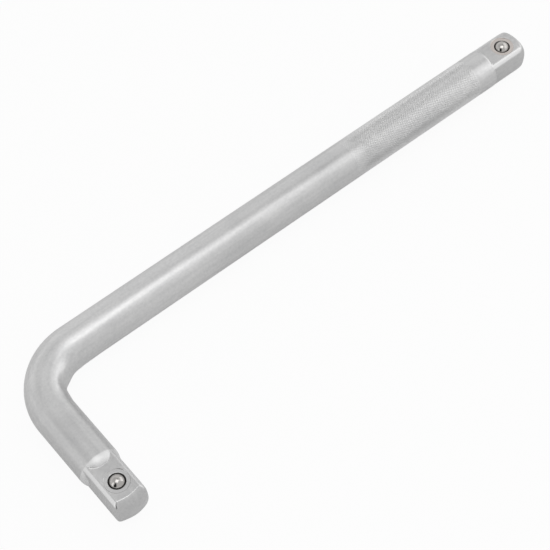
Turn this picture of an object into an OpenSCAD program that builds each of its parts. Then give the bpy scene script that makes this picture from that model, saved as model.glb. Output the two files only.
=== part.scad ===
// L-handle for sockets: one round steel bar bent square, with a milled square drive on each end.
// Each drive holds a socket by a ball that a coil spring pushes out through a staked hole.
// Millimetres. The handle lies flat: long arm along +X, short arm along -Y, balls facing up.

/* [Bar] */
// Diameter of the round bar
bar_d = 16; // [15:0.5:18]
// Length over the long arm, from the outside of the short arm to the tip
long_reach = 250; // [180:5:400]
// Length over the short arm, from the outside of the long arm to the tip
short_reach = 75.5; // [68:0.5:120]
// Radius of the bend, at the middle of the bar
bend_r = 20.5; // [12:0.5:26]

/* [Square drives] */
// Width of a drive across its flats
drive_af = 12.7; // [12.4:0.05:12.9]
// Radius of the domed tips
dome_r = 13.5; // [11:0.5:20]
// Rounding of a tip's rim, from the corners into the dome
rim_r = 1.6; // [0.5:0.1:2.5]
// Radius of the curve that the short arm's upper and lower flats end in
short_end_r = 7.1; // [7:0.1:13]
// Radius of the curve that the short arm's side flats end in
short_side_r = 9.4; // [7:0.1:13]
// Radius of the curve that the long arm's flats end in
long_end_r = 12; // [7:0.1:13]
// Length of the short arm's flats, from the tip to the foot of the shoulder
short_flat_len = 18; // [15:0.1:20]
// Rounding of the shoulder behind the short arm's flats
short_shoulder_r = 5.3; // [1:0.1:7]
// Length of the long arm's flats, from the tip to the foot of the shoulder
long_flat_len = 17.9; // [15:0.1:20]
// Rounding of the shoulder behind the long arm's flats
long_shoulder_r = 1.5; // [0.5:0.1:7]

/* [Ball detents] */
// Diameter of the balls
ball_d = 6; // [5.6:0.1:6.4]
// How far a ball stands out of its flat
ball_proud = 1.5; // [1.2:0.05:1.6]
// Distance from the short arm's tip to its ball
short_ball_from_tip = 10.6; // [8.5:0.1:12]
// Distance from the long arm's tip to its ball
long_ball_from_tip = 9; // [8.5:0.1:12]
// Depth of the ball holes' straight wall below the flat
hole_depth = 8.2; // [7.8:0.1:9]
// Angle of the drill point at the foot of the holes
drill_angle = 118; // [90:1:140]
// Depth of the staked lip that keeps a ball in
lip_depth = 0.75; // [0.5:0.05:0.9]
// Depth of the ring that the staking punch leaves round the lip
stake_depth = 0.2; // [0.1:0.02:0.25]
// Width of the staked ring
stake_w = 1.35; // [0.8:0.05:1.4]

/* [Springs] */
// Thickness of the spring wire
wire_d = 0.5; // [0.4:0.05:0.6]
// Outside diameter of the coils
coil_d = 4.8; // [4:0.1:5]
// Number of turns
turns = 4; // [3:0.5:4]

/* [Fits] */
// Room round a ball in its hole, on the radius
ball_clearance = 0.05; // [0.02:0.01:0.1]
// Gap at rest between a ball and the lip above it, and the spring below it
seat_gap = 0.03; // [0.01:0.01:0.1]
// Flare of the hole's mouth beyond its wall, on the radius
mouth_flare = 0.3; // [0.05:0.01:0.3]

/* [Hidden] */
$fn = 96;

bar_r = bar_d / 2;
long_tip = long_reach - bar_r;
short_tip = short_reach - bar_r;
flat_z = drive_af / 2;
// Lift of the rim's rounding and of the flats' end curve, which makes them cross the dome at clear edges
rim_lift = 0.08;
end_lift = 0.25;

// Ball and hole, measured down from the flat
ball_r = ball_d / 2;
ball_sink = ball_r - ball_proud;
hole_r = ball_r + ball_clearance;
point_h = hole_r / tan(drill_angle / 2);
lip_r = sqrt(pow(ball_r + seat_gap, 2) - pow(ball_sink - lip_depth, 2));
lip_under = lip_depth + 2 * (hole_r - lip_r);
mouth_r = hole_r + mouth_flare;
stake_r = mouth_r + stake_w;

// Spring, from its seat on the drill point up to the ball
wire_r = wire_d / 2;
coil_r = coil_d / 2 - wire_r;
seat_angle = drill_angle / 2;
coil_low = -hole_depth - point_h + coil_r / tan(seat_angle) + (wire_r + seat_gap) / sin(seat_angle);
coil_high = -ball_sink - sqrt(pow(ball_r + wire_r + seat_gap, 2) - pow(coil_r, 2));
coil_steps = 12;
wire_sides = 8;
coil_last = round(turns * coil_steps);

// Axial length of a shoulder of radius r, from the bar's surface down to a flat
function run_out(r) =
    let (drop = bar_r - flat_z)
    r > drop ? sqrt(pow(r, 2) - pow(r - drop, 2)) : r;

// Middle of the rim's rounding, across the bar and back from the tip
rim_side = bar_r - rim_r;
rim_back = dome_r - sqrt(pow(dome_r - rim_r, 2) - pow(rim_side, 2)) - rim_lift;

// Centre of the spring wire at step i
function coil_point(i) =
    let (a = i * 360 / coil_steps)
    [coil_r * cos(a), coil_r * sin(a), coil_low + (coil_high - coil_low) * i / coil_last];

// Point j of the ring of wire at step i, square to the wire
function wire_point(i, j) =
    let (
        a = i * 360 / coil_steps,
        rise = (coil_high - coil_low) / (turns * 360) * 180 / PI,
        along = [-sin(a) * coil_r, cos(a) * coil_r, rise],
        out = [cos(a), sin(a), 0],
        up = cross(out, along) / norm(along),
        b = j * 360 / wire_sides
    )
    coil_point(i) + wire_r * (cos(b) * out + sin(b) * up);

least_gap = min([
    for (i = [0:coil_last])
        for (k = [i + coil_steps / 2:1:coil_last])
            norm(coil_point(i) - coil_point(k)) - wire_d
]);
echo(str("least gap between the turns of a spring: ", least_gap, " mm"));

// Puts the corner of the arms so that the handle lies on the floor, centred
module lie_flat() {
    translate([bar_r - long_reach / 2, short_reach / 2 - bar_r, bar_r])
        children();
}

// Turns a shape made along +X onto the short arm
module on_short_arm() {
    rotate([0, 0, -90])
        children();
}

// Moves a shape made below the origin to a drive's ball hole, at distance x along its arm
module at_ball(x) {
    translate([x, 0, flat_z])
        children();
}

// Rounded end of the round bar, where the flats begin
module shoulder(r) {
    rotate_extrude()
        intersection() {
            square([bar_r, r]);
            union() {
                square([bar_r - r, r]);
                translate([bar_r - r, 0])
                    circle(r = r);
            }
        }
}

// Half outline of the round blank, with its rim rounded and room for the dome inside it
module rim_outline(len) {
    beyond = 2;
    square([bar_r, len - rim_back]);
    translate([rim_side, len - rim_back])
        circle(r = rim_r);
    translate([0, len - dome_r])
        polygon(beyond * [[0, 0], [rim_side, dome_r - rim_back], [0, dome_r - rim_back]]);
}

// Round blank of a drive, with its domed tip
module drive_blank(len) {
    rotate_extrude()
        intersection() {
            square([bar_r, len]);
            rim_outline(len);
            union() {
                square([bar_r, len / 2]);
                translate([0, len - dome_r])
                    circle(r = dome_r);
            }
        }
}

// Two opposite flats of a drive, with the curve that they end in
module flats(len, end_r) {
    rotate([90, 0, 0])
        linear_extrude(height = bar_d, center = true)
            intersection() {
                translate([-flat_z, 0])
                    square([drive_af, len]);
                union() {
                    translate([-flat_z, 0])
                        square([drive_af, len / 2]);
                    translate([0, len + end_lift - end_r])
                        circle(r = end_r);
                }
            }
}

// Square drive: the round blank with its upper, lower and side flats milled
module square_drive(len, end_r, side_r) {
    intersection() {
        drive_blank(len);
        flats(len, end_r);
        rotate([0, 0, 90])
            flats(len, side_r);
    }
}

// One straight arm along +X, from the bend to the tip of its drive
module arm(tip, flat_len, shoulder_r, end_r, side_r) {
    drive_len = flat_len + run_out(shoulder_r);
    rotate([0, 90, 0]) {
        translate([0, 0, bend_r])
            cylinder(r = bar_r, h = tip - drive_len - bend_r);
        translate([0, 0, tip - drive_len]) {
            shoulder(shoulder_r);
            square_drive(drive_len, end_r, side_r);
        }
    }
}

// Quarter bend that joins the arms
module bend() {
    translate([bend_r, -bend_r, 0])
        rotate([0, 0, 90])
            rotate_extrude(angle = 90)
                translate([bend_r, 0])
                    circle(r = bar_r);
}

// Ball hole, with its drill point, staked lip and punched ring
module ball_hole() {
    above = 1;
    rotate_extrude()
        polygon([
            [0, -hole_depth - point_h],
            [hole_r, -hole_depth],
            [hole_r, -lip_under],
            [lip_r, -lip_depth],
            [mouth_r, -stake_depth],
            [stake_r - stake_depth, -stake_depth],
            [stake_r, 0],
            [stake_r, above],
            [0, above]
        ]);
}

// Detent ball, held up against the lip
module ball() {
    color("gainsboro")
        translate([0, 0, -ball_sink])
            sphere(r = ball_r);
}

// Detent spring, one length of wire wound between the drill point and the ball
module spring() {
    ring_ends = [0, coil_last * wire_sides];
    points = [
        for (i = [0:coil_last])
            for (j = [0:wire_sides - 1])
                wire_point(i, j)
    ];
    sides = [
        for (i = [0:coil_last - 1])
            for (j = [0:wire_sides - 1])
                let (
                    a = i * wire_sides + j,
                    b = i * wire_sides + (j + 1) % wire_sides
                )
                each [[a, b, a + wire_sides], [b, b + wire_sides, a + wire_sides]]
    ];
    caps = [
        for (j = [1:wire_sides - 2])
            each [
                [ring_ends[0], ring_ends[0] + j + 1, ring_ends[0] + j],
                [ring_ends[1], ring_ends[1] + j, ring_ends[1] + j + 1]
            ]
    ];
    color("dimgray")
        polyhedron(points, concat(sides, caps));
}

module bar() {
    color("silver")
        lie_flat()
            difference() {
                union() {
                    arm(long_tip, long_flat_len, long_shoulder_r, long_end_r, long_end_r);
                    bend();
                    on_short_arm()
                        arm(short_tip, short_flat_len, short_shoulder_r, short_end_r, short_side_r);
                }
                at_ball(long_tip - long_ball_from_tip)
                    ball_hole();
                on_short_arm()
                    at_ball(short_tip - short_ball_from_tip)
                        ball_hole();
            }
}

module short_drive_ball() {
    lie_flat()
        on_short_arm()
            at_ball(short_tip - short_ball_from_tip)
                ball();
}

module short_drive_spring() {
    lie_flat()
        on_short_arm()
            at_ball(short_tip - short_ball_from_tip)
                spring();
}

module long_drive_ball() {
    lie_flat()
        at_ball(long_tip - long_ball_from_tip)
            ball();
}

module long_drive_spring() {
    lie_flat()
        at_ball(long_tip - long_ball_from_tip)
            spring();
}

bar();
short_drive_ball();
short_drive_spring();
long_drive_ball();
long_drive_spring();
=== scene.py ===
"""Looks of the bent socket handle: bar, knurled grip, ball detents, studio light and camera.

Sizes in the classes are millimetres in the handle's own plan: the arms' axes meet at the
origin, the long arm runs along +X and the short arm along -Y. Finishes and studio are
measured in the frame, and meshes are metres in the frame.
"""

import logging
import math
from dataclasses import dataclass, fields
from enum import Enum
from typing import Any, ClassVar, Sequence

import bmesh
import bpy
import numpy as np
from bpy.types import ID, Material, Mesh, Node, NodeTree, Object, World
from bpy.types import NodeSocket as Socket
from mathutils import Matrix, Vector


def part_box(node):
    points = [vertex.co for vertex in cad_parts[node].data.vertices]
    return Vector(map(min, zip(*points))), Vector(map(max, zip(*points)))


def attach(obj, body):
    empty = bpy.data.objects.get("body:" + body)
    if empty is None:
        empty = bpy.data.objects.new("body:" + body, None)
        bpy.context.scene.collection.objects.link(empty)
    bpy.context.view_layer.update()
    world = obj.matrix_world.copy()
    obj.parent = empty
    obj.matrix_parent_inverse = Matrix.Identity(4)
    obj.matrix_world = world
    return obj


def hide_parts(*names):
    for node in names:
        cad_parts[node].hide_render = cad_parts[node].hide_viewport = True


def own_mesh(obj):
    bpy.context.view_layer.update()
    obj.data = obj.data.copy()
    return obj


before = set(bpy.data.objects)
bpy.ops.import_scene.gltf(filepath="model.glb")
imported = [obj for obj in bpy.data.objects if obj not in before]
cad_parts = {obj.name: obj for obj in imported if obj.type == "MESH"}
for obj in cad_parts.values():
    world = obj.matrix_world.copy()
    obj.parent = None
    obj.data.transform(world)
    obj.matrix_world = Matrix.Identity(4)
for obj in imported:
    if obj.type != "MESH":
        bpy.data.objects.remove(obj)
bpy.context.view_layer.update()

Pair = tuple[float, float]
Triple = tuple[float, float, float]

LOG = logging.getLogger("handle")
MM = 0.001
PLAN_ORIGIN_MM = (-117.0, 29.75, 8.0)
NOISE_SPAN = (0.3, 0.7)
LEAST_FACING = 0.001


class Body(Enum):
    """The moving bodies that the pieces ride on."""

    BAR = "bar"
    SHORT_BALL = "short_ball"
    LONG_BALL = "long_ball"


class Slot(Enum):
    """The record's finishes."""

    SATIN_CHROME = "satin_chrome"
    POLISHED_BALL = "polished_ball"
    SPRING_WIRE = "spring_wire"


class Arm(Enum):
    """The two straight arms, each with the turn that takes a shape made along +X onto it."""

    LONG = 0.0
    SHORT = -90.0

    def to_frame(self) -> Matrix:
        """Returns the matrix from an arm's own axes, in mm, to the frame, in metres."""
        place = Matrix.Translation(Vector(PLAN_ORIGIN_MM) * MM)
        return place @ Matrix.Rotation(math.radians(self.value), 4, "Z") @ Matrix.Scale(MM, 4)


# Helpers for numbers, meshes and node trees


def clamp(value: float) -> float:
    """Returns a value kept between nought and one."""
    return min(max(value, 0.0), 1.0)


def grey(value: float, warm: float = 0.0) -> tuple[float, float, float, float]:
    """Returns a grey, a little warm or cool, as a colour with full alpha."""
    return (value * (1 + warm), value, value * (1 - warm), 1.0)


def heading(azimuth: float, elevation: float) -> tuple[Vector, Vector]:
    """Finds a direction from its angles.

    Args:
        azimuth: Degrees round from -Y towards +X.
        elevation: Degrees up from level.

    Returns:
        The direction, and the level direction square to it.
    """
    a, e = math.radians(azimuth), math.radians(elevation)
    ahead = Vector((math.sin(a) * math.cos(e), -math.cos(a) * math.cos(e), math.sin(e)))
    return ahead, Vector((math.cos(a), math.sin(a), 0.0))


def new_object(name: str, data: ID) -> Object:
    """Links a mesh, lamp or camera into the scene.

    Args:
        name: Its name.
        data: What it shows.

    Returns:
        The object, at the origin.
    """
    obj = bpy.data.objects.new(name, data)
    bpy.context.scene.collection.objects.link(obj)
    return obj


def plain_mesh(obj: Object, name: str) -> Mesh:
    """Evaluates an object's modifiers into a plain mesh.

    Args:
        obj: The object.
        name: Name of the new mesh.

    Returns:
        The mesh, free of modifiers.
    """
    bpy.context.view_layer.update()
    graph = bpy.context.evaluated_depsgraph_get()
    mesh = bpy.data.meshes.new_from_object(obj.evaluated_get(graph), depsgraph=graph)
    mesh.name = name
    return mesh


def drop(obj: Object) -> None:
    """Removes a helper object by removing its mesh."""
    bpy.data.meshes.remove(obj.data)


def shade_smooth(mesh: Mesh) -> None:
    """Shades every face of a mesh smooth."""
    mesh.polygons.foreach_set("use_smooth", [True] * len(mesh.polygons))


def lathe(name: str, profile: Sequence[Pair], turns: int) -> Mesh:
    """Turns a profile about Z into a closed mesh with its faces outwards.

    Args:
        name: Name of the mesh.
        profile: Points (radius, height), both ends on the axis.
        turns: Number of steps round the axis.

    Returns:
        The mesh, in the profile's own units.
    """
    bm = bmesh.new()
    rings: list[list[bmesh.types.BMVert]] = []
    for radius, height in profile:
        angles = [2 * math.pi * k / turns for k in range(turns if radius else 1)]
        rings.append([bm.verts.new((radius * math.cos(a), radius * math.sin(a), height)) for a in angles])
    for low, high in zip(rings, rings[1:]):
        for k in range(turns):
            places = ((low, k), (low, k + 1), (high, k + 1), (high, k))
            corners = [ring[at % len(ring)] for ring, at in places]
            bm.faces.new(list(dict.fromkeys(corners)))
    bmesh.ops.recalc_face_normals(bm, faces=bm.faces)
    mesh = bpy.data.meshes.new(name)
    bm.to_mesh(mesh)
    bm.free()
    return mesh


@dataclass
class Nodes:
    """Short ways to add nodes to one tree."""

    tree: NodeTree

    def node(self, kind: str, inputs: dict[Any, Any] | None = None, **options: Any) -> Node:
        """Adds a node.

        Args:
            kind: Node type, in full for a geometry node, otherwise without its ShaderNode beginning.
            inputs: Values or sockets by input name or number.
            options: The node's own properties.

        Returns:
            The new node.
        """
        made = self.tree.nodes.new(kind if kind.startswith("GeometryNode") else "ShaderNode" + kind)
        for key, value in options.items():
            setattr(made, key, value)
        for key, value in (inputs or {}).items():
            if isinstance(value, Socket):
                self.tree.links.new(value, made.inputs[key])
            else:
                made.inputs[key].default_value = value
        return made

    def out(self, kind: str, inputs: dict[Any, Any] | None = None, **options: Any) -> Socket:
        """Adds a node and returns its first output."""
        return self.node(kind, inputs, **options).outputs[0]

    def math(self, operation: str, *values: Any) -> Socket:
        """Adds a Math node and returns its result."""
        return self.out("Math", dict(enumerate(values)), operation=operation)

    def vector(self, operation: str, *values: Any, out: str = "Vector") -> Socket:
        """Adds a Vector Math node and returns the named result."""
        return self.node("VectorMath", dict(enumerate(values)), operation=operation).outputs[out]

    def dot(self, one: Any, other: Any) -> Socket:
        """Adds a Dot Product node and returns its value."""
        return self.vector("DOT_PRODUCT", one, other, out="Value")

    def remap(self, value: Socket, source: Pair, target: Pair = (0.0, 1.0), **options: Any) -> Socket:
        """Adds a Map Range node from a source span to a target span and returns its value."""
        ends = zip(("From Min", "From Max", "To Min", "To Max"), (*source, *target))
        return self.out("MapRange", {"Value": value, **dict(ends)}, **options)


class GeometryTree(Nodes):
    """One Geometry Nodes tree, with short ways to add its inputs and nodes."""

    KINDS: ClassVar[dict[type, str]] = {int: "Int", float: "Float", Vector: "Vector", Material: "Material"}

    def __init__(self, name: str) -> None:
        """Makes an empty tree with a geometry input and output.

        Args:
            name: Name of the node group.
        """
        super().__init__(bpy.data.node_groups.new(name, "GeometryNodeTree"))
        self.sizes: dict[str, Any] = {}
        for way in ("INPUT", "OUTPUT"):
            self.tree.interface.new_socket("Geometry", in_out=way, socket_type="NodeSocketGeometry")
        self.entry = self.tree.nodes.new("NodeGroupInput")
        self.exit = self.tree.nodes.new("NodeGroupOutput")

    def size(self, name: str, value: Any) -> Socket:
        """Adds a named input.

        Args:
            name: Name of the input.
            value: Its value when the tree runs: a number, a vector or a material.

        Returns:
            The input's socket inside the tree.
        """
        kind = "NodeSocket" + self.KINDS[type(value)]
        item = self.tree.interface.new_socket(name, in_out="INPUT", socket_type=kind)
        self.sizes[item.identifier] = value
        return self.entry.outputs[name]

    def scale(self, vector: Any, factor: Any) -> Socket:
        """Adds a node that scales a vector and returns its result."""
        return self.out("VectorMath", {0: vector, "Scale": factor}, operation="SCALE")

    def attribute(self, name: str, kind: str = "FLOAT") -> Socket:
        """Adds a Named Attribute node and returns its value."""
        return self.out("GeometryNodeInputNamedAttribute", {"Name": name}, data_type=kind)

    def store(self, geometry: Socket, name: str, value: Socket, kind: str = "FLOAT") -> Socket:
        """Adds a node that stores a named value on every point and returns the geometry."""
        inputs = {"Geometry": geometry, "Name": name, "Value": value}
        return self.out("GeometryNodeStoreNamedAttribute", inputs, data_type=kind, domain="POINT")

    def tube(self, line: Socket, sides: Socket, radius: Socket) -> Socket:
        """Adds the nodes that sweep a circle along a curve and returns the closed tube."""
        ring = self.out("GeometryNodeCurvePrimitiveCircle", {"Resolution": sides, "Radius": radius})
        return self.out("GeometryNodeCurveToMesh", {"Curve": line, "Profile Curve": ring, "Fill Caps": True})

    def close(self, geometry: Socket, material: Socket) -> None:
        """Ends the tree in Realize Instances and Set Material.

        Args:
            geometry: The finished geometry.
            material: Socket that gives the material.
        """
        real = self.out("GeometryNodeRealizeInstances", {"Geometry": geometry})
        done = self.out("GeometryNodeSetMaterial", {"Geometry": real, "Material": material})
        self.tree.links.new(done, self.exit.inputs[0])

    def run(self, name: str, start: Mesh | None = None) -> Mesh:
        """Runs the tree on a helper object and removes the helper.

        Args:
            name: Name of the finished mesh.
            start: Mesh that the tree starts from, or none for an empty one.

        Returns:
            The result as a plain mesh.
        """
        host = new_object("host", bpy.data.meshes.new("host") if start is None else start)
        modifier = host.modifiers.new(self.tree.name, "NODES")
        modifier.node_group = self.tree
        for key, value in self.sizes.items():
            modifier[key] = value
        mesh = plain_mesh(host, name)
        drop(host)
        return mesh


class ShaderTree(Nodes):
    """Short ways to add the nodes of one material or world."""

    def __init__(self, owner: Material | World) -> None:
        """Empties the node tree of a material or world.

        Args:
            owner: The material or world.
        """
        owner.use_nodes = True
        super().__init__(owner.node_tree)
        self.tree.nodes.clear()

    def noise(self, place: Socket, scale: float, detail: float) -> Socket:
        """Adds a Noise Texture on some coordinates and returns its value."""
        return self.out("TexNoise", {"Vector": place, "Scale": scale, "Detail": detail})

    def blend(self, share: Any, low: Any, high: Any, kind: str = "MIX") -> Socket:
        """Adds a colour Mix node and returns its colour."""
        return self.node("Mix", {0: share, 6: low, 7: high}, data_type="RGBA", blend_type=kind).outputs[2]

    def mark(self, name: str) -> Socket:
        """Adds an Attribute node and returns how far a place has that mark."""
        return self.node("Attribute", attribute_name=name).outputs["Fac"]

    def metal(self, inputs: dict[str, Any]) -> None:
        """Ends a material in a metal with the given inputs."""
        self.node("OutputMaterial", {0: self.out("BsdfPrincipled", {"Metallic": 1.0, **inputs})})


# Finishes


@dataclass(frozen=True)
class SatinChrome:
    """Satin chrome plate: a fine blasted grain under faint marks, flecks and streaks.

    A noise is a scale and a detail, and a coat is a tone and a roughness. Towards the bend the plate is
    duller, with its tone raised as painted sheen, and along the short arm its tone is lowered as painted
    shade. A reach says where, along the frame's X or Y, such a change begins and where it is full.
    """

    name: str = "satin_chrome"
    tone: float = 0.6
    spread: float = 0.08
    cast: float = 0.004
    rough: Pair = (0.29, 0.34)
    grain: Pair = (2600.0, 3.0)
    grain_rough: Pair = (-0.015, 0.015)
    grain_height_m: float = 0.0000013
    marks: Pair = (70.0, 4.0)
    mark_share: float = 0.3
    flecks: Pair = (1000.0, 2.0)
    fleck_share: float = 0.35
    streaks: Pair = (620.0, 2.0)
    streak_share: float = 0.35
    dull_rough: float = 0.06
    dull_reach_m: Pair = (0.04, -0.03)
    bend_sheen_share: float = 1.06
    bend_sheen_reach_m: Pair = (-0.02, -0.05)
    short_arm_shade_share: float = 0.87
    short_arm_shade_reach_m: Pair = (0.022, 0.002)
    milled_share: float = 0.91
    tarnish: Triple = (0.6, 0.52, 0.47)
    # Coat of the worn corners: a lighter tone, partly wear and partly painted sheen.
    worn_and_sheen: Pair = (0.7, 0.3)
    # Coat of the forged shoulders: rougher, with a lighter tone as painted sheen.
    forged: Pair = (0.71, 0.52)
    # Tone and roughness of the painted shade inside the ball holes.
    hole_shade: Pair = (0.14, 0.4)

    def plate(self, tree: ShaderTree, place: Socket) -> tuple[Socket, Socket, Socket]:
        """Adds the nodes of the clean plate.

        Args:
            tree: The material's tree.
            place: Coordinates on the handle.

        Returns:
            The plate's tone, its roughness and its grain.
        """
        grain, marks, flecks = (tree.noise(place, *noise) for noise in (self.grain, self.marks, self.flecks))
        drawn = tree.node("Attribute", attribute_name="drawn").outputs["Vector"]
        streaks = tree.noise(drawn, *self.streaks)
        shade = tree.remap(marks, NOISE_SPAN, (0.0, self.mark_share))
        for noise, share in ((flecks, self.fleck_share), (streaks, self.streak_share)):
            shade = tree.math("ADD", shade, tree.remap(noise, NOISE_SPAN, (0.0, share)))
        dark, pale = grey(self.tone - self.spread, -self.cast), grey(self.tone + self.spread, self.cast)
        uneven = tree.remap(grain, NOISE_SPAN, self.grain_rough)
        rough = tree.math("ADD", tree.remap(marks, NOISE_SPAN, self.rough), uneven)
        return tree.blend(shade, dark, pale), rough, grain

    def material(self) -> Material:
        """Makes the material, with the places that a mesh marks.

        Returns:
            The material.
        """
        mat = bpy.data.materials.new(self.name)
        tree = ShaderTree(mat)
        place = tree.node("TexCoord").outputs["Object"]
        tone, rough, grain = self.plate(tree, place)
        x, y, _ = tree.node("SeparateXYZ", {0: place}).outputs
        milled = tree.mark("flat_face")
        unmilled = tree.math("SUBTRACT", 1.0, milled)
        # Painted sheen raises the tone towards the bend, and painted shade lowers it along the short arm.
        changes = ((x, self.bend_sheen_reach_m, self.bend_sheen_share), (y, self.short_arm_shade_reach_m, self.short_arm_shade_share))
        for along, reach, share in changes:
            area = tree.math("MULTIPLY", tree.remap(along, reach), unmilled)
            tone = tree.blend(area, tone, grey(share), "MULTIPLY")
        dull = tree.remap(x, self.dull_reach_m, (0.0, self.dull_rough))
        rough = tree.math("MULTIPLY_ADD", dull, unmilled, rough)
        tone = tree.blend(milled, tone, grey(self.milled_share), "MULTIPLY")
        tone = tree.blend(tree.mark("tarnish"), tone, (*self.tarnish, 1.0))
        # Worn corners and forged shoulders are lightened partly as painted sheen, and the holes darkened as
        # painted shade.
        for name, coat in (("wear_and_sheen", self.worn_and_sheen), ("forged", self.forged), ("hole_shade", self.hole_shade)):
            marked = tree.mark(name)
            tone = tree.blend(marked, tone, grey(coat[0]))
            rough = tree.out("Mix", {0: marked, 2: rough, 3: coat[1]})
        bump = tree.out("Bump", {"Height": grain, "Distance": self.grain_height_m, "Strength": 1.0})
        tree.metal({"Base Color": tone, "Roughness": rough, "Normal": bump})
        return mat


@dataclass(frozen=True)
class BareMetal:
    """Bare metal, whose tone, colour cast and roughness vary together between two values."""

    name: str
    tones: Pair
    casts: Pair
    roughs: Pair
    noise: Pair

    def material(self) -> Material:
        """Makes the material of this finish.

        Returns:
            The material.
        """
        mat = bpy.data.materials.new(self.name)
        tree = ShaderTree(mat)
        marks = tree.noise(tree.node("TexCoord").outputs["Object"], *self.noise)
        tone = tree.blend(tree.remap(marks, NOISE_SPAN), *map(grey, self.tones, self.casts))
        tree.metal({"Base Color": tone, "Roughness": tree.remap(marks, NOISE_SPAN, self.roughs)})
        return mat


@dataclass(frozen=True)
class PolishedSteel(BareMetal):
    """Mirror-polished bearing steel, very faintly uneven."""

    name: str = "polished_ball"
    tones: Pair = (0.44, 0.48)
    casts: Pair = (0.03, 0.04)
    roughs: Pair = (0.02, 0.04)
    noise: Pair = (900.0, 4.0)


@dataclass(frozen=True)
class DrawnWire(BareMetal):
    """Dark drawn spring wire, oiled and finely mottled."""

    name: str = "spring_wire"
    tones: Pair = (0.28, 0.4)
    casts: Pair = (0.0, 0.01)
    roughs: Pair = (0.28, 0.42)
    noise: Pair = (1500.0, 3.0)


# Sub-assemblies


@dataclass(frozen=True)
class Ring:
    """A ring of the bar's sweep: its place in the plan and its section's sizes, by default a round."""

    x: float
    y: float
    round_r: float
    flat_w: float = 9.0
    shoulder_r: float = 0.0
    soft: float = 0.0
    end_r: float = 9.0
    end_left: float = 0.0
    side_r: float = 9.0
    side_left: float = 0.0
    end_bow: float = 0.0
    end_soft: float = 0.0
    foot_soft: float = 0.0
    face_soft: float = 0.0
    milled: float = 0.0
    forged: float = 0.0
    dome: float = 0.0
    worn_and_sheen: float = 0.0
    pinch: float = 0.0

    @classmethod
    def sizes(cls) -> list[str]:
        """Returns the names of a section's sizes."""
        return [size.name for size in fields(cls) if size.name not in ("x", "y")]


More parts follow.
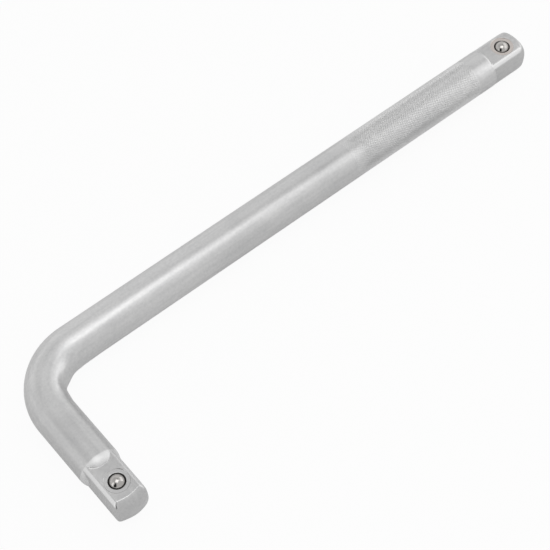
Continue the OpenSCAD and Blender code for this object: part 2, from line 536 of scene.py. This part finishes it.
@dataclass(frozen=True)
class Drive:
    """One square drive, measured from its tip along its arm.

    A run of rings is a beginning, an end and a step. The flats' run ends before the foot of the shoulder,
    where the foot's run begins.
    """

    arm: Arm
    reach: float
    flat_len: float
    shoulder_r: float
    ball_from_tip: float
    rim_r: float
    end_r: float
    side_end_r: float
    end_bow: float
    end_soft: float
    soft: float
    tip_soft: float
    foot_soft: float
    forged: float
    worn_and_sheen: float
    tarnish: float
    flat_z: float = 6.35
    bar_r: float = 8.0
    dome_r: float = 13.5
    dome_cut: float = 20.0
    end_lift: float = 0.25
    tip_end: float = 4.0
    tip_fade: float = 1.2
    face_soft: float = 2.6
    face_end: float = 3.4
    wear_and_sheen_from: Pair = (3.2, 4.6)
    wear_and_sheen_stop: float = 0.3
    forged_fade: float = 0.5
    apex_rings: tuple[float, ...] = (0.002, 0.01, 0.03, 0.06, 0.11, 0.17, 0.24, 0.32, 0.41, 0.5)
    tip_rings: Triple = (0.6, 5.2, 0.065)
    flat_rings: Triple = (5.3, -0.5, 0.6)
    foot_rings: Triple = (-0.45, 0.1, 0.1)
    last_ring: float = 0.2

    @property
    def tip(self) -> float:
        """Distance from the corner of the arms to the tip."""
        return self.reach - self.bar_r

    @property
    def shoulder_end(self) -> float:
        """Distance from the tip to where the full round bar begins."""
        fall = min(self.bar_r - self.flat_z, self.shoulder_r)
        return self.flat_len + math.sqrt(self.shoulder_r**2 - (self.shoulder_r - fall) ** 2)

    def hole_to_frame(self) -> Matrix:
        """Returns the matrix from the ball hole's mouth, in mm, to the frame, in metres."""
        along = self.tip - self.ball_from_tip
        return self.arm.to_frame() @ Matrix.Translation((along, 0, self.flat_z))

    def blank(self, s: float) -> float:
        """Finds the round blank's radius, over its dome and rounded rim.

        Args:
            s: Distance from the tip.

        Returns:
            The radius.
        """
        inner, side = self.dome_r - self.rim_r, self.bar_r - self.rim_r
        rise = math.sqrt(inner**2 - side**2)
        back, meets = self.dome_r - rise, self.dome_r * (1 - rise / inner)
        if s >= back:
            return self.bar_r
        if s >= meets:
            return side + math.sqrt(max(self.rim_r**2 - (back - s) ** 2, 0.0))
        return math.sqrt(self.dome_r**2 - (self.dome_r - s) ** 2)

    def shoulder(self, s: float) -> float:
        """Returns the radius of the rounded shoulder at a distance from the tip, nought short of it."""
        left, r = max(self.shoulder_end - s, 0.0), self.shoulder_r
        return 0.0 if left >= r else self.bar_r - r + math.sqrt(r**2 - left**2)

    def softness(self, s: float) -> float:
        """Returns how far edges are blended at a distance from the tip, less on the flats than round it."""
        edge = self.soft + (self.tip_soft - self.soft) * clamp((self.tip_end - s) / self.tip_fade + 1)
        return max(edge * clamp((self.shoulder_end - s) / self.tip_fade), self.tip_blend(s))

    def tip_blend(self, s: float) -> float:
        """Returns how far the curves of the tip's face run into each other at a distance from the tip."""
        return self.face_soft * clamp((self.face_end - s) / (self.face_end - self.tip_fade))

    def wear_and_sheen(self, s: float) -> float:
        """Returns the corners' wear and painted sheen at a distance from the tip, nought on its face and
        shoulder.
        """
        first, full = self.wear_and_sheen_from
        return self.worn_and_sheen * clamp((s - first) / (full - first)) * (s <= self.shoulder_end - self.wear_and_sheen_stop)

    def stations(self) -> list[float]:
        """Lists where the drive gets a ring of points.

        Returns:
            The rings' distances from the tip.
        """
        begin, end, step = self.flat_rings
        flats = np.arange(begin, self.flat_len + end, step)
        begin, end, step = self.foot_rings
        foot = np.arange(self.flat_len + begin, self.shoulder_end + end, step)
        last = self.shoulder_end + self.last_ring
        return [float(s) for s in (*self.apex_rings, *np.arange(*self.tip_rings), *flats, *foot, last)]

    def ring(self, s: float) -> Ring:
        """Finds the drive's section.

        Args:
            s: Distance from the tip.

        Returns:
            The ring of the bar's sweep at that place.
        """
        along = self.tip - s
        x, y = (along, 0.0) if self.arm is Arm.LONG else (0.0, -along)
        return Ring(
            x, y, round_r=self.blank(s), flat_w=self.flat_z, shoulder_r=self.shoulder(s),
            soft=self.softness(s), foot_soft=self.foot_soft, face_soft=self.tip_blend(s),
            end_r=self.end_r, end_left=self.end_r - self.end_lift - s,
            side_r=self.side_end_r, side_left=self.side_end_r - self.end_lift - s,
            end_bow=self.end_bow, end_soft=self.end_soft, milled=1.0, worn_and_sheen=self.wear_and_sheen(s),
            forged=self.forged * clamp((self.shoulder_end - s) / self.forged_fade),
            dome=self.dome_cut * clamp((self.tip_end - s) / self.tip_fade),
        )


@dataclass
class BentBar:
    """The round bar, bent square, with a drive on each end and a ball hole in each drive.

    A pinch is an angle round the bend, a width in degrees and a depth. A point of a punched ring's rim is
    a distance beyond the ring's radius and a height above the flat.
    """

    short: Drive
    long: Drive
    grip: Pair
    grip_depth: float
    bar_r: float = 8.0
    bend_r: float = 20.5
    segments: int = 240
    shank_rings: int = 5
    shank_gap: float = 3.0
    bend_rings: int = 36
    arm_rings: int = 18
    arm_gaps: Pair = (8.0, 1.0)
    grip_runs: Pair = (9.0, 4.0)
    grip_step: float = 0.5
    grip_rings: int = 12
    end_gap: float = 2.0
    mark_run: float = 0.3
    streak_drift: float = 0.05
    pinches: Sequence[Triple] = ((34.0, 13.0, 0.85), (84.0, 9.0, -0.3))
    pinch_facing: float = 0.5
    hole_r: float = 3.05
    hole_depth: float = 8.2
    hole_turns: int = 96
    drill_point: float = 1.8326
    lip_r: float = 2.936
    lip_depth: float = 0.75
    lip_under: float = 0.978
    lip_points: int = 7
    mouth_r: float = 3.35
    mouth_edge: float = 0.08
    stake_r: float = 4.7
    stake_depth: float = 0.2
    stake_edge: float = 0.05
    stake_rim: Sequence[Pair] = ((-0.06, -0.05), (0.03, 0.01), (0.03, 1.0))
    level_room: float = 0.02
    rim_room: float = 0.1
    rim_depth: float = 1.0
    sharp_angle: float = 28.0
    finish: SatinChrome = SatinChrome()
    MARKS: ClassVar[tuple[str, ...]] = ("wear_and_sheen", "flat_face", "forged")

    def centreline(self) -> list[Ring]:
        """Lists the rings of the sweep.

        Returns:
            The rings, from the short tip to the long tip.
        """
        rings = [self.short.ring(s) for s in self.short.stations()]
        shank = self.short.tip - self.short.shoulder_end - self.shank_gap
        rings += [Ring(0.0, -y, self.bar_r) for y in np.linspace(shank, self.bend_r, self.shank_rings)]
        for k in range(1, self.bend_rings + 1):
            turn = math.pi / 2 * k / self.bend_rings
            x, y = self.bend_r * (1 - math.cos(turn)), -self.bend_r * (1 - math.sin(turn))
            rings.append(Ring(x, y, self.bar_r, pinch=self.pinch(math.degrees(turn))))
        low, high = self.grip
        first, last = self.arm_gaps
        arm = np.linspace(self.bend_r + first, low - last, self.arm_rings)
        rings += [Ring(x, 0.0, self.bar_r) for x in arm] + self.grip_sections()
        ends = (high + self.end_gap, self.long.tip - self.long.shoulder_end - self.end_gap)
        rings += [Ring(x, 0.0, self.bar_r) for x in ends]
        return rings + [self.long.ring(s) for s in reversed(self.long.stations())]

    def grip_sections(self) -> list[Ring]:
        """Lists the rings under the knurl, where the bar is as thin as the floor of its grooves.

        Returns:
            The rings, with a run-in and a run-out at the full radius.
        """
        (low, high), (run_in, run_out), step = self.grip, self.grip_runs, self.grip_step
        begin = np.linspace(low, low + run_in, round(run_in / step) + 1)
        inside = np.linspace(low + run_in + step, high - run_out - step, self.grip_rings)
        end = np.linspace(high - run_out, high, round(run_out / step) + 1)
        rings = []
        for x in (*begin, *inside, *end):
            share = min((x - low) / run_in, (high - x) / run_out, 1.0)
            rings.append(Ring(x, 0.0, self.bar_r - self.grip_depth * share * share * (3 - 2 * share)))
        return rings

    def pinch(self, turn: float) -> float:
        """Returns how far the inside of the bend is pressed in, at an angle from the short arm."""
        return sum(deep * math.exp(-(((turn - at) / wide) ** 2)) for at, wide, deep in self.pinches)

    def line(self) -> Mesh:
        """Makes the line of points that the sweep follows, each with its own sizes.

        Returns:
            The line, an open chain of edges with attributes in metres.
        """
        rings = self.centreline()
        origin = Vector(PLAN_ORIGIN_MM)
        places = [(Vector((ring.x, ring.y, 0.0)) + origin) * MM for ring in rings]
        mesh = bpy.data.meshes.new("bar_line")
        mesh.from_pydata(places, [(k, k + 1) for k in range(len(rings) - 1)], [])
        centre = mesh.attributes.new("centre", "FLOAT_VECTOR", "POINT")
        centre.data.foreach_set("vector", np.array(places, np.float32).ravel())
        for name in Ring.sizes():
            values = np.array([getattr(ring, name) * MM for ring in rings], np.float32)
            mesh.attributes.new(name, "FLOAT", "POINT").data.foreach_set("value", values)
        return mesh

    def sweep_tree(self) -> GeometryTree:
        """Builds the tree that sweeps a round section along the line, shapes it to its radii and marks it.

        Returns:
            The tree, with its sizes as inputs.
        """
        tree = GeometryTree("bar_sweep")
        segments, radius = tree.size("Segments", self.segments), tree.size("Radius", self.bar_r * MM)
        mark_run = tree.size("Mark Run", self.mark_run * MM)
        drift = tree.size("Streak Drift", self.streak_drift)
        bend_centre = (Vector(PLAN_ORIGIN_MM) + Vector((self.bend_r, -self.bend_r, 0.0))) * MM
        line = tree.out("GeometryNodeMeshToCurve", {"Mesh": tree.entry.outputs[0]})
        upright = tree.out("GeometryNodeSetCurveNormal", {"Curve": line}, mode="Z_UP")
        swept = tree.tube(upright, segments, radius)
        centre = tree.attribute("centre", "FLOAT_VECTOR")
        place = tree.out("GeometryNodeInputPosition")
        outward = tree.vector("NORMALIZE", tree.vector("SUBTRACT", place, centre))
        round_r, shoulder_r = tree.attribute("round_r"), tree.attribute("shoulder_r")
        flat = self.flats(tree, outward, tree.math("DIVIDE", round_r, radius))
        body = tree.math("SMOOTH_MAX", flat, shoulder_r, tree.attribute("foot_soft"))
        whole = tree.math("SMOOTH_MIN", body, round_r, tree.attribute("soft"))
        inward = tree.vector("SUBTRACT", tree.size("Bend Centre", bend_centre), centre)
        facing = tree.dot(outward, tree.vector("NORMALIZE", inward))
        inside = tree.remap(facing, (self.pinch_facing, 1.0), interpolation_type="SMOOTHSTEP")
        reach = tree.math("SUBTRACT", whole, tree.math("MULTIPLY", inside, tree.attribute("pinch")))
        # Corners are marked for wear with painted sheen.
        corner = tree.math("DIVIDE", tree.math("SUBTRACT", flat, round_r), mark_run)
        # Raised shoulders are marked as forged, with painted sheen.
        raised = tree.math("DIVIDE", tree.math("SUBTRACT", shoulder_r, flat), mark_run)
        dome = tree.math("DIVIDE", tree.attribute("dome"), MM)
        cut = tree.math("SUBTRACT", dome, tree.math("MAXIMUM", corner, raised))
        drawn = tree.vector("ADD", tree.scale(outward, radius), tree.scale(place, drift))
        marked = tree.store(swept, "drawn", drawn, "FLOAT_VECTOR")
        for name, found, share in zip(self.MARKS, (corner, cut, raised), ("worn_and_sheen", "milled", "forged")):
            full = tree.math("DIVIDE", tree.attribute(share), MM)
            mark = tree.math("MULTIPLY", tree.out("Clamp", {"Value": found}), full)
            marked = tree.store(marked, name, mark)
        moved = tree.vector("ADD", centre, tree.scale(outward, reach))
        shaped = tree.out("GeometryNodeSetPosition", {"Geometry": marked, "Position": moved})
        tree.close(shaped, tree.size("Material", self.finish.material()))
        return tree

    @staticmethod
    def flats(tree: GeometryTree, outward: Socket, blank: Socket) -> Socket:
        """Adds the nodes of a drive's four flats, with the curves that they end in.

        Args:
            tree: The sweep's tree.
            outward: Direction away from the bar's axis.
            blank: Radius of the round blank, as a share of the bar's.

        Returns:
            Distance from the bar's axis to the flats in that direction.
        """
        upward = tree.math("ABSOLUTE", tree.dot(outward, (0, 0, 1)))
        sideways = tree.vector("LENGTH", tree.vector("MULTIPLY", outward, (1, 1, 0)), out="Value")
        beside = tree.math("MULTIPLY", blank, tree.math("MINIMUM", upward, sideways))
        bowed = tree.math("MULTIPLY", tree.math("POWER", beside, 2.0), tree.attribute("end_bow"))
        sides = []
        for pair, facing in (("end", upward), ("side", sideways)):
            left = tree.math("MAXIMUM", tree.math("ADD", tree.attribute(f"{pair}_left"), bowed), 0.0)
            squares = (tree.math("POWER", size, 2.0) for size in (tree.attribute(f"{pair}_r"), left))
            end = tree.math("SQRT", tree.math("SUBTRACT", *squares))
            width = tree.math("SMOOTH_MIN", tree.attribute("flat_w"), end, tree.attribute("end_soft"))
            sides.append(tree.math("DIVIDE", width, tree.math("MAXIMUM", facing, LEAST_FACING)))
        return tree.math("SMOOTH_MIN", *sides, tree.attribute("face_soft"))

    @staticmethod
    def from_mouth(places: np.ndarray, drive: Drive) -> tuple[np.ndarray, np.ndarray]:
        """Returns how far places are from the axis of a drive's ball hole and above its mouth, in mm."""
        off = places.reshape(-1, 3) / MM - np.array(drive.hole_to_frame().translation) / MM
        return np.hypot(off[:, 0], off[:, 1]), off[:, 2]

    def mark_holes(self, mesh: Mesh) -> None:
        """Marks the faces inside the ball holes, painted dark as shade, and the punched rings round them.

        Args:
            mesh: The bar's mesh, with its holes cut.
        """
        centres = np.empty(3 * len(mesh.polygons), np.float32)
        mesh.polygons.foreach_get("center", centres)
        corners = np.empty(3 * len(mesh.vertices), np.float32)
        mesh.vertices.foreach_get("co", corners)
        cut = np.zeros(len(mesh.vertices), bool)
        hole_shade, tarnish = (np.zeros(len(mesh.polygons), np.float32) for _ in range(2))
        floor = -self.stake_depth - self.level_room
        for drive in (self.short, self.long):
            away, height = self.from_mouth(centres, drive)
            above = height > -self.hole_depth - self.drill_point
            # Faces down inside the hole get painted shade, which darkens the recess round the ball.
            hole_shade[(away < self.mouth_r) & above & (height < floor)] = 1.0
            punched = (height < -self.level_room) & (height > floor)
            tarnish[(away < self.stake_r - self.rim_room) & punched] = drive.tarnish
            away, height = self.from_mouth(corners, drive)
            cut |= (away < self.stake_r + self.rim_room) & (height > -self.rim_depth)
        for name in self.MARKS:
            values = np.empty(len(mesh.vertices), np.float32)
            mesh.attributes[name].data.foreach_get("value", values)
            values[cut] = name == "flat_face"
            mesh.attributes[name].data.foreach_set("value", values)
        for name, values in (("hole_shade", hole_shade), ("tarnish", tarnish)):
            mesh.attributes.new(name, "FLOAT", "FACE").data.foreach_set("value", values)

    def hole_cutter(self, drive: Drive) -> Object:
        """Makes the tool that cuts a drive's ball hole, staked lip and punched ring.

        Args:
            drive: The drive that is cut.

        Returns:
            The cutter, in place.
        """
        wide, high = self.mouth_r - self.lip_r, self.lip_depth - self.stake_depth
        lip = [
            (self.lip_r + wide * (1 - math.cos(a)), -self.lip_depth + high * math.sin(a))
            for a in np.linspace(0, math.pi / 2, self.lip_points)
        ]
        foot = self.stake_r - self.stake_depth
        profile = [
            (0.0, -self.hole_depth - self.drill_point),
            (self.hole_r, -self.hole_depth),
            (self.hole_r, -self.lip_under),
            *lip,
            (self.mouth_r + self.mouth_edge, -self.stake_depth),
            (foot - self.stake_edge, -self.stake_depth),
            (foot, -self.stake_depth),
            *((self.stake_r + beyond, height) for beyond, height in self.stake_rim),
            (0.0, self.stake_rim[-1][1]),
        ]
        mesh = lathe("hole_cutter", profile, self.hole_turns)
        mesh.transform(drive.hole_to_frame())
        return new_object("hole_cutter", mesh)

    def build(self) -> Object:
        """Builds the bar's skin and puts it on its body.

        Returns:
            The finished piece.
        """
        swept = self.sweep_tree().run("bar_skin", self.line())
        for name in ("centre", *Ring.sizes()):
            if name not in self.MARKS:
                swept.attributes.remove(swept.attributes[name])
        rough = new_object("bar_rough", swept)
        cutters = [self.hole_cutter(drive) for drive in (self.short, self.long)]
        for cutter in cutters:
            cut = rough.modifiers.new(cutter.name, "BOOLEAN")
            cut.operation, cut.solver, cut.object = "DIFFERENCE", "EXACT", cutter
        mesh = plain_mesh(rough, "bar_skin")
        for helper in (rough, *cutters):
            drop(helper)
        shade_smooth(mesh)
        mesh.set_sharp_from_angle(angle=math.radians(self.sharp_angle))
        self.mark_holes(mesh)
        piece = new_object("bar_skin", mesh)
        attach(piece, Body.BAR.value)
        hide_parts("bar")
        return piece


@dataclass
class KnurledGrip:
    """The fine diamond knurl on the long arm: rows of cut diamonds, every other row moved half a step."""

    span: Pair
    depth: float
    bar_r: float = 8.0
    around: int = 54
    row_step: float = 0.52
    top_share: float = 0.53
    sunk: float = 0.03
    margins: Pair = (1.0, 0.6)
    finish: SatinChrome = SatinChrome(name="knurled_chrome", tone=0.7)

    def tree(self) -> GeometryTree:
        """Builds the tree that sets one cut diamond on every crossing of the knurl.

        Returns:
            The tree, with its sizes as inputs.
        """
        low, high = self.span[0] + self.margins[0], self.span[1] - self.margins[1]
        groove_r = self.bar_r - self.depth
        x, y, z = PLAN_ORIGIN_MM
        tree = GeometryTree("knurl_rows")
        rows, around = tree.size("Rows", int((high - low) / self.row_step)), tree.size("Around", self.around)
        start, step = tree.size("Start", (x + low) * MM), tree.size("Row Step", self.row_step * MM)
        floor_r, depth = tree.size("Floor Radius", groove_r * MM), tree.size("Depth", self.depth * MM)
        sunk, top = tree.size("Sunk", self.sunk * MM), tree.size("Top Share", self.top_share)
        half = tree.size("Half Width", math.pi * groove_r / self.around * MM)
        axis_y, axis_z = tree.size("Axis Y", y * MM), tree.size("Axis Z", z * MM)
        points = tree.out("GeometryNodeMeshLine", {"Count": tree.math("MULTIPLY", rows, around)})
        index = tree.out("GeometryNodeInputIndex")
        row = tree.math("FLOOR", tree.math("DIVIDE", tree.math("ADD", index, 0.5), around))
        column = tree.math("SUBTRACT", index, tree.math("MULTIPLY", row, around))
        stagger = tree.math("MULTIPLY", tree.math("MODULO", row, 2.0), 0.5)
        share = tree.math("DIVIDE", tree.math("ADD", column, stagger), around)
        turn = tree.math("MULTIPLY", share, 2 * math.pi)
        base_r = tree.math("SUBTRACT", floor_r, sunk)
        place = tree.out(
            "CombineXYZ",
            {
                0: tree.math("ADD", start, tree.math("MULTIPLY", row, step)),
                1: tree.math("ADD", axis_y, tree.math("MULTIPLY", base_r, tree.math("SINE", turn))),
                2: tree.math("ADD", axis_z, tree.math("MULTIPLY", base_r, tree.math("COSINE", turn))),
            },
        )
        diamond = tree.node(
            "GeometryNodeMeshCone",
            {"Vertices": 4, "Radius Top": top, "Radius Bottom": 1.0, "Depth": tree.math("ADD", depth, sunk)},
            fill_type="NGON",
        )
        set_out = tree.out(
            "GeometryNodeInstanceOnPoints",
            {
                "Points": tree.out("GeometryNodeSetPosition", {"Geometry": points, "Position": place}),
                "Instance": diamond.outputs["Mesh"],
                "Rotation": tree.out("CombineXYZ", {0: tree.math("MULTIPLY", turn, -1.0)}),
                "Scale": tree.out("CombineXYZ", {0: step, 1: half, 2: 1.0}),
            },
        )
        tree.close(set_out, tree.size("Material", self.finish.material()))
        return tree

    def build(self) -> Object:
        """Builds the knurl and puts it on the bar.

        Returns:
            The finished piece.
        """
        piece = new_object("knurled_grip", self.tree().run("knurled_grip"))
        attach(piece, Body.BAR.value)
        return piece


@dataclass
class BallDetent:
    """A drive's detent: the ball, and the spring that holds it up against the staked lip."""

    name: str
    drive: Drive
    body: Body
    joint: str
    ball_r: float = 3.0
    ball_sink: float = 1.5
    ball_turns: int = 72
    ball_points: int = 49
    travel: float = 1.5
    wire_r: float = 0.25
    coil_r: float = 2.15
    turns: float = 4.0
    turn_steps: int = 40
    wire_sides: int = 14
    ball_finish: PolishedSteel = PolishedSteel()
    wire_finish: DrawnWire = DrawnWire()

    def ball(self) -> Object:
        """Builds the ball and puts it on its own body.

        Returns:
            The finished piece.
        """
        heights = np.linspace(-math.pi / 2, math.pi / 2, self.ball_points)[1:-1]
        profile = [
            (0.0, -self.ball_r),
            *((self.ball_r * math.cos(a), self.ball_r * math.sin(a)) for a in heights),
            (0.0, self.ball_r),
        ]
        mesh = lathe(f"{self.name}_ball", profile, self.ball_turns)
        mesh.transform(self.drive.hole_to_frame() @ Matrix.Translation((0, 0, -self.ball_sink)))
        shade_smooth(mesh)
        mesh.materials.append(self.ball_finish.material())
        piece = new_object(f"{self.name}_ball", mesh)
        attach(piece, self.body.value)
        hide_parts(f"{self.name}_drive_ball")
        return piece

    def spring_tree(self, length: float) -> GeometryTree:
        """Builds the tree that sweeps the wire along a helix.

        Args:
            length: Length of the spring over its wire, in metres.

        Returns:
            The tree, with its sizes as inputs.
        """
        tree = GeometryTree(f"{self.name}_coil")
        coil_r = tree.size("Coil Radius", self.coil_r * MM)
        wire_r = tree.size("Wire Radius", self.wire_r * MM)
        steps, turns = tree.size("Steps", self.turn_steps), tree.size("Turns", self.turns)
        height = tree.size("Height", length - 2 * self.wire_r * MM)
        coil = {"Start Radius": coil_r, "End Radius": coil_r, "Height": height}
        helix = tree.out("GeometryNodeCurveSpiral", {"Resolution": steps, "Rotations": turns, **coil})
        wound = tree.tube(helix, tree.size("Wire Sides", self.wire_sides), wire_r)
        tree.close(wound, tree.size("Material", self.wire_finish.material()))
        return tree

    def spring(self) -> Object:
        """Builds the spring, as long as the part's spring.

        Returns:
            The finished piece.
        """
        low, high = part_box(f"{self.name}_drive_spring")
        length = high.z - low.z
        middle = (low + high) / 2
        mesh = self.spring_tree(length).run(f"{self.name}_spring")
        mesh.transform(Matrix.Translation((middle.x, middle.y, low.z + self.wire_r * MM)))
        shade_smooth(mesh)
        piece = new_object(f"{self.name}_spring", mesh)
        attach(piece, Body.BAR.value)
        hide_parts(f"{self.name}_drive_spring")
        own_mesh(piece)
        return piece


# Studio


@dataclass(frozen=True)
class Softbox:
    """A soft rectangular lamp that faces the handle."""

    name: str
    place_mm: Triple
    size_mm: Pair
    watts: float
    aim_mm: Triple = (-20.0, 0.0, 0.0)

    def build(self) -> None:
        """Builds the lamp."""
        lamp = bpy.data.lights.new(self.name, "AREA")
        lamp.shape = "RECTANGLE"
        lamp.size, lamp.size_y = (side * MM for side in self.size_mm)
        lamp.energy = self.watts
        obj = new_object(self.name, lamp)
        aim = (Vector(self.aim_mm) - Vector(self.place_mm)).to_track_quat("-Z", "Y")
        obj.rotation_euler = aim.to_euler()
        obj.location = Vector(self.place_mm) * MM


@dataclass(frozen=True)
class Panel:
    """A soft-edged lighter or darker side of the studio, seen from the handle."""

    azimuth: float
    elevation: float
    half_wide: float
    half_high: float
    tone: float
    edge: float = 0.4

    def share(self, tree: ShaderTree, look: Socket) -> Socket:
        """Adds the nodes that say how far a direction falls on the panel.

        Args:
            tree: The world's tree.
            look: The direction.

        Returns:
            One on the panel, nought beside it.
        """
        ahead, side = heading(self.azimuth, self.elevation)
        across = tree.dot(look, side / math.sin(math.radians(self.half_wide)))
        upward = tree.dot(look, ahead.cross(side) / math.sin(math.radians(self.half_high)))
        squares = (tree.math("POWER", way, 2.0) for way in (across, upward))
        off = tree.math("SQRT", tree.math("ADD", *squares))
        on = tree.remap(off, (1 + self.edge, 1 - self.edge), interpolation_type="SMOOTHSTEP")
        return tree.math("MULTIPLY", on, tree.math("GREATER_THAN", tree.dot(look, ahead), 0.0))


@dataclass
class Studio:
    """Pale floor, pale surround with its lighter and darker sides, soft lamps and the camera."""

    azimuth: float = -37.54
    elevation: float = 56.033
    roll: float = -2.183
    target_mm: Triple = (-20.865, 6.412, 8.0)
    distance_mm: float = 599.735
    focal_px: float = 1626.496
    image_px: float = 550.0
    sensor_mm: float = 36.0
    clip_m: Pair = (0.01, 50.0)
    front_tone: float = 0.78
    back_tone: float = 0.94
    floor_tone: float = 0.68
    floor_glow: float = 0.94
    floor_mirror: float = 0.3
    floor_size_m: float = 8.0
    panels: Sequence[Panel] = (
        Panel(118.0, 62.0, 17.0, 4.6, 0.35),
        Panel(-66.0, 20.0, 21.0, 36.0, 0.02),
        Panel(-158.0, 54.0, 30.0, 26.0, 0.73),
    )
    lamps: Sequence[Softbox] = (
        Softbox("overhead_softbox", (-157.0, -120.0, 1208.0), (800.0, 800.0), 2.4),
        Softbox("strip_softbox", (253.0, -165.0, 488.0), (240.0, 600.0), 0.14),
        Softbox("right_softbox", (519.0, -56.0, 280.0), (600.0, 400.0), 0.4),
        Softbox("left_softbox", (-457.0, 0.0, 150.0), (200.0, 300.0), 0.13),
        Softbox("far_softbox", (217.0, -142.0, 109.0), (120.0, 120.0), 0.015, (118.0, 30.0, 14.0)),
    )

    def camera(self) -> None:
        """Builds the camera at the photograph's viewing angle and sets it as the scene's."""
        back, right = heading(self.azimuth, self.elevation)
        up, turn = back.cross(right), math.radians(self.roll)
        side = right * math.cos(turn) + up * math.sin(turn)
        top = up * math.cos(turn) - right * math.sin(turn)
        data = bpy.data.cameras.new("camera")
        data.sensor_width = self.sensor_mm
        data.lens = self.focal_px / self.image_px * self.sensor_mm
        data.clip_start, data.clip_end = self.clip_m
        obj = new_object("camera", data)
        place = (Vector(self.target_mm) + back * self.distance_mm) * MM
        turned = Matrix((side, top, back)).transposed().to_4x4()
        obj.matrix_world = Matrix.Translation(place) @ turned
        bpy.context.scene.camera = obj

    def floor(self) -> None:
        """Builds the pale floor, which shows white to the camera and keeps the handle's shadow."""
        half = self.floor_size_m / 2
        mesh = bpy.data.meshes.new("floor")
        corners = [(-half, -half, 0), (half, -half, 0), (half, half, 0), (-half, half, 0)]
        mesh.from_pydata(corners, [], [(0, 1, 2, 3)])
        mat = bpy.data.materials.new("floor_white")
        tree = ShaderTree(mat)
        matt = tree.out("BsdfDiffuse", {"Color": grey(self.floor_tone)})
        glow = tree.out("Emission", {"Color": grey(1.0), "Strength": 1.0})
        path = tree.node("LightPath").outputs
        mirrored = tree.math("MAXIMUM", path["Is Glossy Ray"], path["Is Transmission Ray"])
        seen = tree.math("MULTIPLY", path["Is Camera Ray"], self.floor_glow)
        share = tree.math("MAXIMUM", seen, tree.math("MULTIPLY", mirrored, self.floor_mirror))
        tree.node("OutputMaterial", {0: tree.out("MixShader", {0: share, 1: matt, 2: glow})})
        mesh.materials.append(mat)
        obj = new_object("floor", mesh)

    def world(self) -> None:
        """Gives the scene a pale surround with lighter and darker sides."""
        world = bpy.data.worlds.new("studio")
        tree = ShaderTree(world)
        look = tree.node("TexCoord").outputs["Generated"]
        behind = tree.remap(tree.dot(look, (0, 1, 0)), (-1.0, 1.0))
        tone = tree.blend(behind, grey(self.front_tone), grey(self.back_tone))
        for panel in self.panels:
            tone = tree.blend(panel.share(tree, look), tone, grey(panel.tone))
        tree.node("OutputWorld", {0: tree.out("Background", {"Color": tone, "Strength": 1.0})})
        bpy.context.scene.world = world

    def build(self) -> None:
        """Builds the floor, the surround, the lamps and the camera."""
        self.floor()
        self.world()
        for lamp in self.lamps:
            lamp.build()
        self.camera()
        bpy.context.scene.view_settings.view_transform = "Standard"


def report(piece: Object) -> None:
    """Logs a finished piece and its number of triangles."""
    LOG.info("%s: %d triangles", piece.name, sum(len(p.vertices) - 2 for p in piece.data.polygons))


def main() -> None:
    """Builds the handle piece by piece, then the studio."""
    logging.basicConfig(level=logging.INFO, format="%(name)s %(message)s")
    short = Drive(
        Arm.SHORT, reach=75.5, flat_len=18.4, shoulder_r=5.3, ball_from_tip=10.6, rim_r=3.2,
        end_r=7.1, side_end_r=9.4, end_bow=2.0, end_soft=0.12, soft=0.4, tip_soft=0.6, foot_soft=0.1,
        forged=1.0, worn_and_sheen=0.8, tarnish=0.0,
    )
    long = Drive(
        Arm.LONG, reach=250.0, flat_len=17.9, shoulder_r=1.5, ball_from_tip=9.0, rim_r=2.5,
        end_r=12.0, side_end_r=12.0, end_bow=0.0, end_soft=1.0, soft=0.2, tip_soft=1.0, foot_soft=0.05,
        forged=0.0, worn_and_sheen=0.6, tarnish=0.55,
    )
    grip, depth = (150.0, 216.0), 0.19
    report(BentBar(short, long, grip, depth).build())
    report(KnurledGrip(grip, depth).build())
    for detent in (
        BallDetent("short", short, Body.SHORT_BALL, "short_ball_press"),
        BallDetent("long", long, Body.LONG_BALL, "long_ball_press"),
    ):
        report(detent.ball())
        report(detent.spring())
    Studio().build()


if __name__ == "__main__":
    main()
